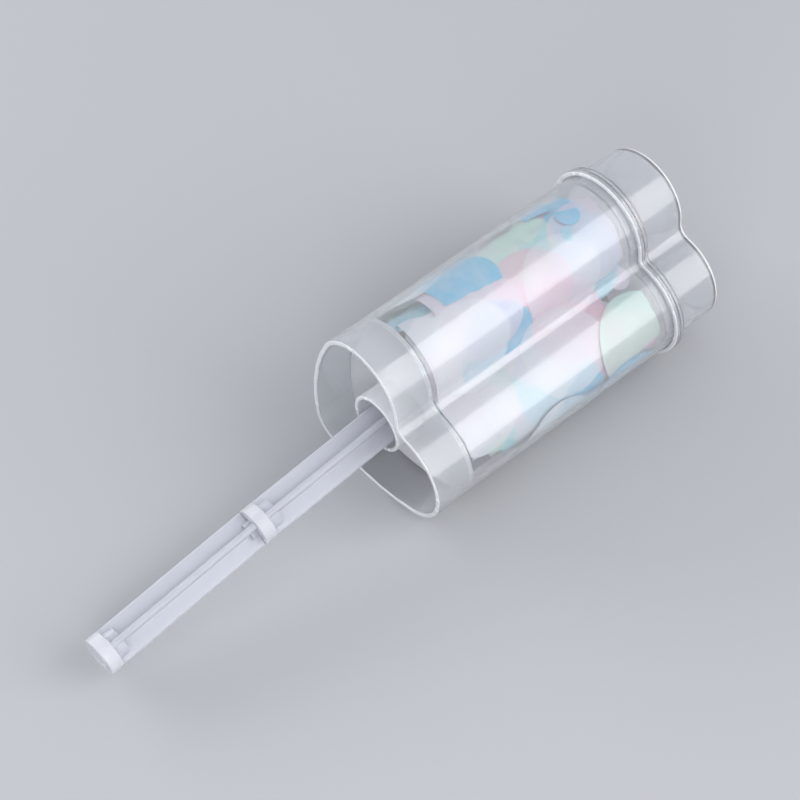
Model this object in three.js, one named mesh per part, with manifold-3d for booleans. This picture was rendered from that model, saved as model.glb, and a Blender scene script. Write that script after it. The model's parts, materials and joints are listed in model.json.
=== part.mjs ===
// Confetti push pop: a clear heart-section barrel with a clipped-on cap, a loose heart-shaped pusher plate
// on a two-piece stick, and tissue discs packed between pusher and cap. Millimetres, +Z up, the stick
// toward -X.
import * as THREE from 'three';
import { mergeVertices } from 'three/addons/utils/BufferGeometryUtils.js';
import Module from 'manifold-3d';

const wasm = await Module();
wasm.setup();

// Heart section of the barrel, outside, at the near mouth
const HEART_WIDTH = 52;
const LOBE_RADIUS = 14.4;
const TIP_RADIUS = 8.3;
const SIDE_RADIUS = 53.6;
const CLEFT_RADIUS = 3.4;
const LOBE_ABOVE_AXIS = 5.5;
const LOBE_TO_TIP_CENTRE = 22.9;

// Barrel
const BARREL_LENGTH = 84.4;
const BARREL_WALL = 1.2;
const BARREL_DRAFT = 0.35;
const LIP_ROUND = 0.35;

// Cap
const FIT_GAP = 0.3;
const CAP_WALL = 1.0;
const SKIRT_DEPTH = 2.0;
const SKIRT_WALL = 1.1;
const SKIRT_GROOVE = 0.3;
const PLUG_DEPTH = 3.6;
const PLUG_WALL = 0.7;
const CUP_HEIGHT = 15.0;
const CUP_DRAFT = 0.35;
const CUP_EDGE_ROUND = 0.9;

// Pusher
const PLATE_INSET = 11.1;
const PLATE_THICKNESS = 1.4;
const PLATE_EDGE_ROUND = 0.25;
const COLLAR_DIAMETER = 16.6;
const COLLAR_WALL = 1.1;
const COLLAR_HEIGHT = 8.8;
const HUB_WALL = 1.2;
const HUB_FLOOR = 1.0;
const GATE_NUB_DIAMETER = 2.2;
const GATE_NUB_HEIGHT = 1.0;
const GATE_NUB_FROM_TIP = 2.6;

// Stick, two like halves pushed together
const STICK_DIAMETER = 10.3;
const FIN_THICKNESS = 1.7;
const FIN_ROOT_ROUND = 0.5;
const HALF_LENGTH = 48.9;
const END_DISC_DIAMETER = 10.5;
const END_DISC_THICKNESS = 3.6;
const END_DISC_ROUND = 0.3;
const SPIGOT_DIAMETER = 5.0;
const SPIGOT_LENGTH = 5.4;
const SOCKET_GAP = 0.3;
const SOCKET_END_GAP = 0.4;
const SOCKET_BOSS_WALL = 1.0;
const SHOULDER_GAP = 1.0;
const STICK_DROOP = 6.3;
const STICK_SWAY = 0.5;
const SPIGOT_TILT = 1.1;
const STICK_CLOCKING = -22;

// Tissue discs
const TISSUE_DIAMETER = 25;
const TISSUE_THICKNESS = 0.3;
const TISSUE_WALL_GAP = 0.8;
const TISSUE_END_GAP = 1.2;
const TISSUE_SCATTER = 1.2;
const WALL_ROWS = 4;
const WALL_COLUMNS = 8;
const ROW_STEP_IN = 1.7;
const COLUMN_STEP_IN = 1.0;
const POCKET_DEPTH = 3.6;
const POCKET_COLUMN = 1.9;
const POCKET_SPREAD = 1.1;
const CORE_COUNT = 11;
const CORE_GAP = 0.4;
const CORE_BELOW_AXIS = 3;

const RAD = Math.PI / 180;
const GOLDEN_ANGLE = 137.5 * RAD;
const ROUND_SEGMENTS = 32;
const ROUND_MIDDLE = 1 - Math.SQRT1_2;

// The heart outline as arcs, half of it from the cleft to the tip, mirrored for the other half. Each corner
// holds its place on the base outline and the outward direction in which a larger outline moves it.
function heartCorners() {
  const lobeSide = HEART_WIDTH / 2 - LOBE_RADIUS;
  const lobe = new THREE.Vector2(lobeSide, LOBE_ABOVE_AXIS);
  const tip = new THREE.Vector2(0, LOBE_ABOVE_AXIS - LOBE_TO_TIP_CENTRE);
  const toLobe = SIDE_RADIUS - LOBE_RADIUS;
  const toTip = SIDE_RADIUS - TIP_RADIUS;
  const between = tip.clone().sub(lobe);
  const apart = between.length();
  const along = (toLobe ** 2 - toTip ** 2 + apart ** 2) / (2 * apart);
  const aside = Math.sqrt(Math.max(toLobe ** 2 - along ** 2, 0));
  const way = between.clone().divideScalar(apart);
  const side = lobe.clone().addScaledVector(way, along);
  side.addScaledVector(new THREE.Vector2(way.y, -way.x), aside);
  const lobeEnd = Math.atan2(lobe.y - side.y, lobe.x - side.x);
  const sideEnd = Math.atan2(tip.y - side.y, tip.x - side.x);
  const cleftHeight = LOBE_ABOVE_AXIS + Math.sqrt((LOBE_RADIUS + CLEFT_RADIUS) ** 2 - lobeSide ** 2);
  const cleft = new THREE.Vector2(0, cleftHeight);
  const cleftEnd = Math.atan2(lobe.y - cleftHeight, lobeSide);
  const lobeStart = cleftEnd + Math.PI;
  const arcs = [
    { centre: cleft, radius: CLEFT_RADIUS, from: -Math.PI / 2, to: cleftEnd, steps: 3, hollow: true },
    { centre: lobe, radius: LOBE_RADIUS, from: lobeStart, to: lobeEnd, steps: 13 },
    { centre: side, radius: SIDE_RADIUS, from: lobeEnd, to: sideEnd, steps: 5 },
    { centre: tip, radius: TIP_RADIUS, from: sideEnd, to: -Math.PI / 2, steps: 4 },
  ];
  const half = [];
  for (const arc of arcs) {
    for (let i = 0; i < arc.steps; i += 1) {
      const angle = arc.from + ((arc.to - arc.from) * i) / arc.steps;
      const spoke = new THREE.Vector2(Math.cos(angle), Math.sin(angle));
      const out = arc.hollow ? spoke.clone().negate() : spoke.clone();
      half.push({ place: arc.centre.clone().addScaledVector(spoke, arc.radius), out });
    }
  }
  const bottom = { place: new THREE.Vector2(0, tip.y - TIP_RADIUS), out: new THREE.Vector2(0, -1) };
  const mirrored = half.slice(1).reverse().map(({ place, out }) => ({
    place: new THREE.Vector2(-place.x, place.y),
    out: new THREE.Vector2(-out.x, out.y),
  }));
  return { corners: [...half, bottom, ...mirrored], restNormal: (lobeEnd + sideEnd) / 2, tip };
}

const { corners: CORNERS, restNormal: REST_NORMAL, tip: TIP_CENTRE } = heartCorners();

// A point of the outline grown by grow, at a station measured in corners: y across the heart, z to the cleft
function outlinePoint(station, grow) {
  const count = CORNERS.length;
  const wrapped = ((station % count) + count) % count;
  const index = Math.floor(wrapped);
  const share = wrapped - index;
  const a = CORNERS[index];
  const b = CORNERS[(index + 1) % count];
  const ay = a.place.x + a.out.x * grow;
  const az = a.place.y + a.out.y * grow;
  const by = b.place.x + b.out.x * grow;
  const bz = b.place.y + b.out.y * grow;
  return [ay + (by - ay) * share, az + (bz - az) * share];
}

const outlineLoop = (x, grow) => CORNERS.map((corner, i) => [x, ...outlinePoint(i, grow)]);

function geometryFrom(points, triangles) {
  const geometry = new THREE.BufferGeometry();
  geometry.setAttribute('position', new THREE.Float32BufferAttribute(points.flat(), 3));
  geometry.setIndex(triangles.flat());
  return facingOut(geometry);
}

// Turns a closed geometry's faces outward where they point in
function facingOut(geometry) {
  const place = geometry.getAttribute('position');
  const index = geometry.getIndex();
  const corners = [new THREE.Vector3(), new THREE.Vector3(), new THREE.Vector3()];
  let volume = 0;
  for (let i = 0; i < index.count; i += 3) {
    corners.forEach((corner, k) => corner.fromBufferAttribute(place, index.getX(i + k)));
    volume += corners[0].dot(corners[1].clone().cross(corners[2]));
  }
  if (volume < 0) {
    for (let i = 0; i < index.count; i += 3) {
      const second = index.getX(i + 1);
      index.setX(i + 1, index.getX(i + 2));
      index.setX(i + 2, second);
    }
  }
  return geometry;
}

// Triangles that fill the grown outline, wound the way the outline runs
function faceTriangles(grow) {
  const loop = CORNERS.map((corner, i) => new THREE.Vector2(...outlinePoint(i, grow)));
  const way = Math.sign(THREE.ShapeUtils.area(loop));
  return THREE.ShapeUtils.triangulateShape(loop, []).map(([a, b, c]) => {
    const same = Math.sign(THREE.ShapeUtils.area([loop[a], loop[b], loop[c]])) === way;
    return same ? [a, b, c] : [a, c, b];
  });
}

// A solid through heart outlines: profile lists [x, grow]. A closed profile makes a ring, an open one gets
// end faces.
function heartLoft(profile, closed) {
  const points = profile.flatMap(([x, grow]) => outlineLoop(x, grow));
  const count = CORNERS.length;
  const triangles = [];
  const bands = closed ? profile.length : profile.length - 1;
  for (let band = 0; band < bands; band += 1) {
    const from = band * count;
    const to = ((band + 1) % profile.length) * count;
    for (let i = 0; i < count; i += 1) {
      const next = (i + 1) % count;
      triangles.push([from + i, from + next, to + next], [from + i, to + next, to + i]);
    }
  }
  if (!closed) {
    const last = (profile.length - 1) * count;
    for (const [a, b, c] of faceTriangles(profile[0][1])) {
      triangles.push([b, a, c]);
    }
    for (const [a, b, c] of faceTriangles(profile.at(-1)[1])) {
      triangles.push([last + a, last + b, last + c]);
    }
  }
  return geometryFrom(points, triangles);
}

// Solids for joining and cutting
function solidOf(geometry) {
  const bare = geometry.clone();
  bare.deleteAttribute('normal');
  bare.deleteAttribute('uv');
  const merged = facingOut(mergeVertices(bare, 1e-5));
  return new wasm.Manifold(new wasm.Mesh({
    numProp: 3,
    vertProperties: new Float32Array(merged.getAttribute('position').array),
    triVerts: new Uint32Array(merged.getIndex().array),
  }));
}

function geometryOf(solid) {
  const mesh = solid.getMesh();
  const geometry = new THREE.BufferGeometry();
  geometry.setAttribute('position', new THREE.BufferAttribute(new Float32Array(mesh.vertProperties), 3));
  geometry.setIndex(new THREE.BufferAttribute(new Uint32Array(mesh.triVerts), 1));
  return geometry;
}

// A turned solid about the X axis; profile lists [x, radius] from axis to axis
function turned(profile) {
  const points = profile.map(([x, radius]) => new THREE.Vector2(radius, x));
  const lathe = new THREE.LatheGeometry(points, ROUND_SEGMENTS);
  lathe.rotateZ(-Math.PI / 2);
  return solidOf(lathe);
}

const cylinder = (from, to, radius) => turned([[from, 0], [from, radius], [to, radius], [to, 0]]);

// Barrel: a thin drafted wall, its near lip rounded
function barrelGeometry() {
  const far = BARREL_DRAFT;
  return heartLoft([
    [LIP_ROUND, 0],
    [0, -LIP_ROUND],
    [0, LIP_ROUND - BARREL_WALL],
    [LIP_ROUND, -BARREL_WALL],
    [BARREL_LENGTH, far - BARREL_WALL],
    [BARREL_LENGTH, far],
  ], true);
}

// Cap: cup beyond the mouth, grooved skirt outside the barrel wall and short plug inside it, in one moulding
const SKIRT_INSIDE = BARREL_DRAFT + FIT_GAP;
const SKIRT_OUTSIDE = SKIRT_INSIDE + SKIRT_WALL;
const LEDGE = BARREL_LENGTH + FIT_GAP;
const SKIRT_END = LEDGE - SKIRT_DEPTH;
const LEDGE_TOP = LEDGE + CAP_WALL;
const CUP_END = LEDGE_TOP + CUP_HEIGHT;
const PLUG_OUTSIDE = BARREL_DRAFT - BARREL_WALL - FIT_GAP;
const CUP_OUTSIDE = PLUG_OUTSIDE + CAP_WALL;

function capGeometry() {
  const cupEndOutside = CUP_OUTSIDE - CUP_DRAFT;
  const cupInside = CUP_OUTSIDE - CAP_WALL - FIT_GAP;
  const plugInside = PLUG_OUTSIDE - PLUG_WALL;
  const middle = (SKIRT_END + LEDGE_TOP) / 2;
  const half = SKIRT_GROOVE / 2;
  return heartLoft([
    [CUP_END - CAP_WALL, cupInside - CUP_DRAFT],
    [LEDGE, plugInside],
    [LEDGE - PLUG_DEPTH, plugInside],
    [LEDGE - PLUG_DEPTH, PLUG_OUTSIDE],
    [LEDGE, PLUG_OUTSIDE],
    [LEDGE, SKIRT_INSIDE],
    [SKIRT_END, SKIRT_INSIDE],
    [SKIRT_END, SKIRT_OUTSIDE - half],
    [SKIRT_END + half, SKIRT_OUTSIDE],
    [middle - half, SKIRT_OUTSIDE],
    [middle, SKIRT_OUTSIDE - SKIRT_GROOVE],
    [middle + half, SKIRT_OUTSIDE],
    [LEDGE_TOP - half, SKIRT_OUTSIDE],
    [LEDGE_TOP, SKIRT_OUTSIDE - half],
    [LEDGE_TOP, CUP_OUTSIDE],
    [CUP_END - CUP_EDGE_ROUND, cupEndOutside],
    [CUP_END - CUP_EDGE_ROUND * ROUND_MIDDLE, cupEndOutside - CUP_EDGE_ROUND * ROUND_MIDDLE],
    [CUP_END, cupEndOutside - CUP_EDGE_ROUND],
  ], false);
}

// Pusher: heart plate that runs loose in the barrel, collar round the stick, blind hub for its spigot
const SPIGOT_RADIUS = SPIGOT_DIAMETER / 2;
const SHOULDER_AT = PLATE_INSET - SHOULDER_GAP;
const SPIGOT_END = SHOULDER_AT + SPIGOT_LENGTH;
const HUB_BOTTOM = SPIGOT_END + SOCKET_END_GAP;
const ROCK_CENTRE = (PLATE_INSET + HUB_BOTTOM) / 2;
const SPIGOT_SWING = ((HUB_BOTTOM - PLATE_INSET) / 2) * Math.tan(STICK_DROOP * RAD);
const HUB_BORE = SPIGOT_RADIUS / Math.cos(STICK_DROOP * RAD) + SPIGOT_SWING + SOCKET_GAP;
const HUB_RADIUS = HUB_BORE + HUB_WALL;
const HUB_END = HUB_BOTTOM + HUB_FLOOR;
const PLATE_FAR = PLATE_INSET + PLATE_THICKNESS;

function pusherGeometry() {
  const edge = -BARREL_WALL - FIT_GAP;
  const plate = solidOf(heartLoft([
    [PLATE_INSET, edge - PLATE_EDGE_ROUND],
    [PLATE_INSET + PLATE_EDGE_ROUND, edge],
    [PLATE_FAR - PLATE_EDGE_ROUND, edge],
    [PLATE_FAR, edge - PLATE_EDGE_ROUND],
  ], false));
  const collarMouth = PLATE_INSET - COLLAR_HEIGHT;
  const inPlate = PLATE_INSET + PLATE_THICKNESS / 2;
  const collarRadius = COLLAR_DIAMETER / 2;
  const collar = cylinder(collarMouth, inPlate, collarRadius)
    .subtract(cylinder(collarMouth - 1, inPlate + 1, collarRadius - COLLAR_WALL));
  const hub = cylinder(inPlate, HUB_END, HUB_RADIUS);
  const bore = cylinder(PLATE_INSET - 1, HUB_BOTTOM, HUB_BORE);
  const nubAt = TIP_CENTRE.y - TIP_RADIUS - edge + GATE_NUB_FROM_TIP;
  const nub = cylinder(PLATE_INSET - GATE_NUB_HEIGHT, inPlate, GATE_NUB_DIAMETER / 2)
    .translate(0, 0, nubAt);
  return geometryOf(plate.add(hub).subtract(bore).add(collar).add(nub));
}

// Half stick along -X from its shoulder at x = 0: cross-shaped fins, spigot at the shoulder, socket disc at
// the end
const SOCKET_RADIUS = SPIGOT_RADIUS + SOCKET_GAP;
const SOCKET_DEPTH = SPIGOT_LENGTH + SOCKET_END_GAP;

function halfStickGeometry() {
  const reach = STICK_DIAMETER / 2;
  const half = FIN_THICKNESS / 2;
  const root = half + FIN_ROOT_ROUND;
  const corner = Math.sqrt(reach ** 2 - half ** 2);
  const cross = new THREE.Shape();
  const quarter = [[corner, -half], [reach, 0], [corner, half], [root, half], [half, root]];
  for (let turn = 0; turn < 4; turn += 1) {
    const c = Math.round(Math.cos((turn * Math.PI) / 2));
    const s = Math.round(Math.sin((turn * Math.PI) / 2));
    for (const [y, z] of quarter) {
      const place = [y * c - z * s, y * s + z * c];
      if (turn === 0 && y === corner && z === -half) {
        cross.moveTo(...place);
      } else {
        cross.lineTo(...place);
      }
    }
  }
  const discFrom = -HALF_LENGTH + END_DISC_THICKNESS;
  const finsGeometry = new THREE.ExtrudeGeometry(cross, {
    depth: HALF_LENGTH - END_DISC_THICKNESS / 2,
    bevelEnabled: false,
  });
  finsGeometry.rotateY(-Math.PI / 2);
  const discRadius = END_DISC_DIAMETER / 2;
  const disc = turned([
    [-HALF_LENGTH, 0],
    [-HALF_LENGTH, discRadius - END_DISC_ROUND],
    [-HALF_LENGTH + END_DISC_ROUND, discRadius],
    [discFrom - END_DISC_ROUND, discRadius],
    [discFrom, discRadius - END_DISC_ROUND],
    [discFrom, 0],
  ]);
  const bossEnd = -HALF_LENGTH + SOCKET_DEPTH + SOCKET_BOSS_WALL;
  const boss = cylinder(-HALF_LENGTH + END_DISC_THICKNESS / 2, bossEnd, SOCKET_RADIUS + SOCKET_BOSS_WALL);
  const socket = cylinder(-HALF_LENGTH - 1, -HALF_LENGTH + SOCKET_DEPTH, SOCKET_RADIUS);
  const spigot = turned([
    [-FIN_THICKNESS, 0],
    [-FIN_THICKNESS, SPIGOT_RADIUS],
    [SPIGOT_LENGTH - END_DISC_ROUND, SPIGOT_RADIUS],
    [SPIGOT_LENGTH, SPIGOT_RADIUS - END_DISC_ROUND],
    [SPIGOT_LENGTH, 0],
  ]);
  return geometryOf(solidOf(finsGeometry).add(disc).add(boss).add(spigot).subtract(socket));
}

// Tissue disc against the wall, bent with it: its depth grows along and round the barrel, as roof tiles lie.
// The last row is pushed back at one lobe, where the fill leaves a pocket.
const TISSUE_TO = LEDGE - PLUG_DEPTH - TISSUE_END_GAP;
const TISSUE_RADIUS = TISSUE_DIAMETER / 2;
const ROW_FROM = PLATE_FAR + TISSUE_END_GAP + TISSUE_SCATTER + TISSUE_RADIUS;
const ROW_PITCH = (TISSUE_TO - TISSUE_SCATTER - TISSUE_RADIUS - ROW_FROM) / (WALL_ROWS - 1);
const DEPTH_OUTERMOST = BARREL_WALL + TISSUE_WALL_GAP + TISSUE_THICKNESS / 2;
const FLAT_END_SHARE = Math.cos(15 * RAD);
const STATION_MARGIN = 0.3;

function arcLengths(grow) {
  const lengths = [0];
  for (let i = 0; i < CORNERS.length; i += 1) {
    const [ay, az] = outlinePoint(i, grow);
    const [by, bz] = outlinePoint(i + 1, grow);
    lengths.push(lengths[i] + Math.hypot(by - ay, bz - az));
  }
  return lengths;
}

function wallTissueGeometry(row, column) {
  const radius = TISSUE_RADIUS;
  const lengths = arcLengths(-DEPTH_OUTERMOST - (ROW_STEP_IN + COLUMN_STEP_IN) / 2);
  const girth = lengths.at(-1);
  const columnPitch = girth / WALL_COLUMNS;
  const rowSlope = ROW_STEP_IN / ROW_PITCH;
  const columnSlope = COLUMN_STEP_IN / columnPitch;
  const middleDepth = DEPTH_OUTERMOST + Math.hypot(rowSlope, columnSlope) * (radius + TISSUE_SCATTER);
  const scatter = (row * WALL_COLUMNS + column) * GOLDEN_ANGLE;
  const columnAt = column + (row % 2) / 2;
  const fromPocket = (columnAt - POCKET_COLUMN) / POCKET_SPREAD;
  const pushedBack = row === WALL_ROWS - 1 ? POCKET_DEPTH * Math.exp(-fromPocket * fromPocket) : 0;
  const rowX = ROW_FROM + row * ROW_PITCH;
  const columnS = columnPitch * columnAt;
  const centreX = rowX + TISSUE_SCATTER * Math.cos(scatter) - pushedBack;
  const centreS = columnS + TISSUE_SCATTER * Math.sin(scatter);
  const stationAt = (s) => {
    const wrapped = ((s % girth) + girth) % girth;
    const i = lengths.findIndex((length, k) => length <= wrapped && wrapped < lengths[k + 1]);
    const share = (wrapped - lengths[i]) / (lengths[i + 1] - lengths[i]);
    return Math.floor(s / girth) * CORNERS.length + i + share;
  };
  const sAt = (station) => {
    const turns = Math.floor(station / CORNERS.length);
    return turns * girth + lengths[station - turns * CORNERS.length];
  };
  const rim = radius * FLAT_END_SHARE;
  const stations = [stationAt(centreS - rim)];
  const lastStation = stationAt(centreS + rim);
  for (let k = Math.ceil(stations[0] + STATION_MARGIN); k < lastStation - STATION_MARGIN; k += 1) {
    stations.push(k);
  }
  stations.push(lastStation);
  const points = [];
  for (const station of stations) {
    const whole = Math.abs(station - Math.round(station)) < 1e-9;
    const s = whole ? sAt(Math.round(station)) : centreS + (station < stations[1] ? -rim : rim);
    const reach = Math.sqrt(Math.max(radius ** 2 - (s - centreS) ** 2, 0));
    for (const x of [centreX - reach, centreX + reach]) {
      const depth = middleDepth + rowSlope * (x - rowX) + columnSlope * (s - columnS);
      for (const face of [-TISSUE_THICKNESS / 2, TISSUE_THICKNESS / 2]) {
        points.push([x, ...outlinePoint(station, -depth - face)]);
      }
    }
  }
  const triangles = [];
  const quad = (a, b, c, d) => triangles.push([a, b, c], [a, c, d]);
  for (let k = 0; k + 1 < stations.length; k += 1) {
    const a = 4 * k;
    const b = a + 4;
    quad(a, a + 2, b + 2, b);
    quad(a + 1, b + 1, b + 3, a + 3);
    quad(a, b, b + 1, a + 1);
    quad(a + 2, a + 3, b + 3, b + 2);
  }
  const last = 4 * (stations.length - 1);
  quad(0, 1, 3, 2);
  quad(last, last + 2, last + 3, last + 1);
  return geometryFrom(points, triangles);
}

// Tissue discs in the middle of the fill: a loose stack, each leaning another way until it meets the next
const CORE_TURN = 2 * Math.sin(GOLDEN_ANGLE / 2);
const CORE_ROOM = TISSUE_TO - HUB_END - 2 * CORE_GAP - TISSUE_THICKNESS;
const CORE_SPACER = TISSUE_THICKNESS + CORE_GAP;
const CORE_LEAN = Math.atan(
  (CORE_ROOM - CORE_SPACER * (CORE_COUNT - 1)) /
    (HUB_RADIUS + TISSUE_RADIUS + TISSUE_RADIUS * CORE_TURN * (CORE_COUNT - 1)),
);
const CORE_PITCH = CORE_SPACER + TISSUE_RADIUS * CORE_TURN * Math.tan(CORE_LEAN);
const CORE_FROM = HUB_END + CORE_GAP + TISSUE_THICKNESS / 2 + HUB_RADIUS * Math.tan(CORE_LEAN);

function coreTissueGeometry() {
  const disc = new THREE.CylinderGeometry(TISSUE_RADIUS, TISSUE_RADIUS, TISSUE_THICKNESS, 18);
  disc.rotateZ(-Math.PI / 2);
  return disc;
}

const clearPlastic = new THREE.MeshStandardMaterial({ color: 0xe9edf2, roughness: 0.12, metalness: 0 });
const milkyPlastic = new THREE.MeshStandardMaterial({ color: 0xe3e5ea, roughness: 0.35, metalness: 0 });
const tissues = [0xf3dce6, 0x8fd6ea, 0xeef0f4, 0xd9f0e4, 0xb9e2ee, 0xf6eef2].map(
  (color) => new THREE.MeshStandardMaterial({ color, roughness: 0.9, metalness: 0 }),
);

function named(name, geometry, material) {
  const mesh = new THREE.Mesh(geometry, material);
  mesh.name = name;
  return mesh;
}

// Turn about X that lays the heart on the middle of one side
const upInSection = Math.PI / 2 + REST_NORMAL;
const body = new THREE.Group();
body.add(named('barrel', barrelGeometry(), clearPlastic));
body.add(named('cap', capGeometry(), clearPlastic));
body.add(named('pusher', pusherGeometry(), milkyPlastic));

// The stick hangs down and a little aside from the pusher: it turns about the middle of the hub's bore.
// Its outer half sits a little askew, as the socket's clearance on the spigot lets it.
const rocker = new THREE.Group();
rocker.position.x = ROCK_CENTRE;
rocker.rotation.x = -upInSection;
const droop = new THREE.Group();
droop.rotation.set(0, -STICK_DROOP * RAD, STICK_SWAY * RAD);
rocker.add(droop);
body.add(rocker);
const halfStick = halfStickGeometry();
['stick_inner_half', 'stick_outer_half'].forEach((name, i) => {
  const half = named(name, halfStick, milkyPlastic);
  half.position.x = SHOULDER_AT - ROCK_CENTRE - i * (HALF_LENGTH + FIT_GAP);
  half.rotation.order = 'ZYX';
  half.rotation.set(upInSection + STICK_CLOCKING * RAD, 0, i * SPIGOT_TILT * RAD);
  droop.add(half);
});

for (let row = 0; row < WALL_ROWS; row += 1) {
  for (let column = 0; column < WALL_COLUMNS; column += 1) {
    const colour = tissues[(row * 2 + column * 5) % tissues.length];
    body.add(named(`tissue_wall_${row + 1}_${column + 1}`, wallTissueGeometry(row, column), colour));
  }
}

for (let i = 0; i < CORE_COUNT; i += 1) {
  const disc = named(`tissue_core_${i + 1}`, coreTissueGeometry(), tissues[(i * 5 + 1) % tissues.length]);
  const seat = new THREE.Group();
  seat.position.set(CORE_FROM + i * CORE_PITCH, 0, -CORE_BELOW_AXIS);
  seat.rotation.x = i * GOLDEN_ANGLE;
  disc.rotation.y = CORE_LEAN;
  seat.add(disc);
  body.add(seat);
}

// The barrel lies on one flat side: near lip and skirt edge touch the ground, with the origin in the middle
const laid = new THREE.Group();
body.rotation.x = upInSection;
laid.add(body);
laid.rotation.y = -Math.atan2(SKIRT_OUTSIDE, SKIRT_END);
const part = new THREE.Group();
part.add(laid);
part.updateMatrixWorld(true);
const box = new THREE.Box3().setFromObject(part, true);
laid.position.set(-(box.min.x + box.max.x) / 2, -(box.min.y + box.max.y) / 2, -box.min.z);

export default part;
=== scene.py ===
# Confetti push pop: clear heart-section barrel and cap, milky pusher, frosted two-part stick, tissue confetti
# Every piece is made in the barrel's own frame, in metres: x along the barrel from its near mouth, y across
# the heart, z toward the cleft. It is then laid down on one flat side, as the fixed frame has it.

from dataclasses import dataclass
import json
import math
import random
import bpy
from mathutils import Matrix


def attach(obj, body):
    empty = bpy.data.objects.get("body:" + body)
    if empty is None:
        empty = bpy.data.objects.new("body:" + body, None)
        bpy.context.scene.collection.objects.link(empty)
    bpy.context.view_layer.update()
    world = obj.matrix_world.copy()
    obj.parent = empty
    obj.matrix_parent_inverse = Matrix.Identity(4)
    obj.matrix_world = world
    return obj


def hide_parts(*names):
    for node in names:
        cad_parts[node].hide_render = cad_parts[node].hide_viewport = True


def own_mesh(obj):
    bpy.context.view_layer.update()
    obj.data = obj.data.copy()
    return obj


bl_info = {
    "name": "Confetti Push Pop",
    "version": (1, 0, 0),
    "blender": (4, 5, 0),
    "location": "3D View > Sidebar > Push Pop",
    "description": "Makes a heart-section confetti push pop on its fixed frame, with its stage",
    "category": "Add Mesh",
}

import bmesh
import bpy
import numpy
from bpy.props import FloatProperty, FloatVectorProperty, IntProperty, PointerProperty
from mathutils import Matrix, Vector

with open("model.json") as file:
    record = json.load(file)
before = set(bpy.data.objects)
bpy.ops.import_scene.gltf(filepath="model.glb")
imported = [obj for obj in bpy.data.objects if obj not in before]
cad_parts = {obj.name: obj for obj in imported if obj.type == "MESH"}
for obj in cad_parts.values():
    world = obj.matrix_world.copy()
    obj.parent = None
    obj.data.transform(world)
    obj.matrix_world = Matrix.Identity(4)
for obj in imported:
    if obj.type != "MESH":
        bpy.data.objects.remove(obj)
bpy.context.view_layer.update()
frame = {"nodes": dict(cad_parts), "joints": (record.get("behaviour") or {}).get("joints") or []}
JOINTS = {joint["name"]: joint for joint in frame["joints"]}

# Spans of whiter faces: a length beyond every piece, one too small to see, and a factor just over one
FAR_OFF = 1.0
HAIR = 0.00001
JUST_OVER = 1.01
# Half widths of the skirt's groove, by its rounding; the collar's lip by its wall; how low the floor lies
GROOVE_TOP = 1.4
GROOVE_FLOOR = 0.4
LIP_SHARE = 0.35
FLOOR_DROP = 0.00002
# What is turned over: how steeply it rises beyond the crease, its greatest rise by a layer's depth, no fold
FOLD_SLOPE = 0.8
FOLD_HEIGHT = 0.6
NO_FOLD = (0, 2)
# Soft folds: how many in a metre, how much finer a disc's own are, and what sets them apart from disc to disc
WALL_FOLDS = 60.0
OWN_FOLDS = 2.6
SEED_PER_METRE = 900.0
SEED_PER_DISC = 0.61
# The stack on the wall: how near discs overlap, and the power by which more layers pack closer
OVERLAP = 0.98
PACKING = 0.72
# Width of the soft edge of a disc's and a crease's dye, and the painted shade of the dark inside where the
# tissue is thin
EDGE_BLUR = 0.0006
CREASE_BLUR = 0.0004
INSIDE_SHADE = (0.52, 0.58, 0.66)
# The far side's place and extent as shares of the way round, the disorder of its rows, and where its discs
# may be creased; above one a disc stays whole
BACK_START = 0.30
BACK_SHARE = 0.48
ALONG_SCATTER = 0.003
ROUND_SCATTER = 0.015
BACK_CREASES = (0.3, 0.6, 2.0, 2.0, 2.0)
# What lies behind the wall discs: depths, size, nearest and farthest crease, most lean along and round, how
# much more crumpled it is, and how dark in the others' shadow
GAP_DEPTH = 0.0030
UNDER_DEPTH = 0.0050
UNDER_LAYER = 0.0008
UNDER_SIZE = 0.97
UNDER_CREASES = (0.1, 1.2)
UNDER_LEAN = (0.12, 0.14)
UNDER_RUMPLE = 4
UNDER_CRINKLE = 6
UNDER_SHADE = 0.85
# The loose stack: room for the discs' lean at its ends, their lean, size, height and number of folds, shadow
LEAN_ROOM = 0.0045
LOOSE_LEAN = math.radians(9)
LOOSE_SIZE = 0.94
LOOSE_CRUMPLE = 0.004
LOOSE_FOLDS = 95.0
LOOSE_SHADE = 0.9
# Steps that spread discs evenly, along the barrel and round the stick's axis
GOLDEN_SHARE = 0.618034
GOLDEN_ANGLE = math.radians(137.5)

DISC_FIELDS = ("number", "size", "turn_1", "crease_1", "turn_2", "crease_2", "slope_x", "slope_s")
DYES = ("pink", "sky", "white", "mint", "ice", "blush", "veil")
PINK, SKY, WHITE, MINT, ICE, BLUSH, VEIL = range(len(DYES))


def length(name, description, default, low=0.0):
    """A length setting, in metres."""
    return FloatProperty(name=name, description=description, default=default, min=low, precision=5,
                         subtype="DISTANCE", unit="LENGTH")


def share(name, description, default):
    """A setting from 0 to 1."""
    return FloatProperty(name=name, description=description, default=default, min=0.0, max=1.0,
                         subtype="FACTOR")


def count(name, description, default, low):
    """A setting that counts discs or rows."""
    return IntProperty(name=name, description=description, default=default, min=low)


def colour(name, description, default):
    """A colour setting."""
    return FloatVectorProperty(name=name, description=description, default=default, size=4, min=0.0, max=1.0,
                               subtype="COLOR")


def angle(name, description, degrees):
    """An angle setting; the default is given in degrees."""
    return FloatProperty(name=name, description=description, default=math.radians(degrees),
                         subtype="ANGLE", unit="ROTATION")


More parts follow.
